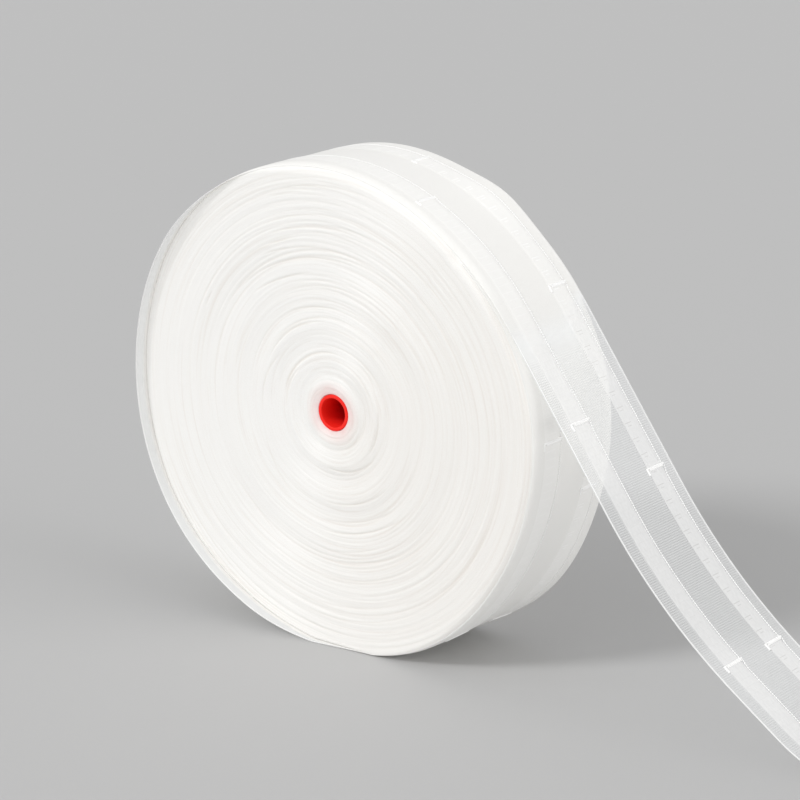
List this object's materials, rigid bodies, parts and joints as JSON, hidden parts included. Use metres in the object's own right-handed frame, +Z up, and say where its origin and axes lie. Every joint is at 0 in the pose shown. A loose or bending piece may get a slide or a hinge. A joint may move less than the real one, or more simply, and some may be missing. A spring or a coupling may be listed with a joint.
{
  "type": "roll of curtain heading tape on a plastic core",
  "caption": "Wound roll of sheer woven curtain heading tape on a small red plastic core, with its loose end falling from the rim and lying on the surface.",
  "frame": {"origin": "on the flat spot that the roll rests on, under the roll's centre and half way across the tape", "axes": "+X from the roll towards the loose end, +Y along the roll's axis from the front face to the back face, +Z up"},
  "size_m": [0.5352, 0.0859, 0.2889],
  "materials": {
    "wound_tape": "white sheer polyester tape in many wound turns, matt with a faint sheen",
    "core_plastic": "bright red moulded plastic, glossy",
    "sheer_tape": "see-through white polyester weave with two denser pocket bands, beaded draw cords and bright selvedges"
  },
  "bodies": {
    "root": {"roll": "wound_tape", "core": "core_plastic", "loose_end": "sheer_tape"}
  },
  "joints": []
}
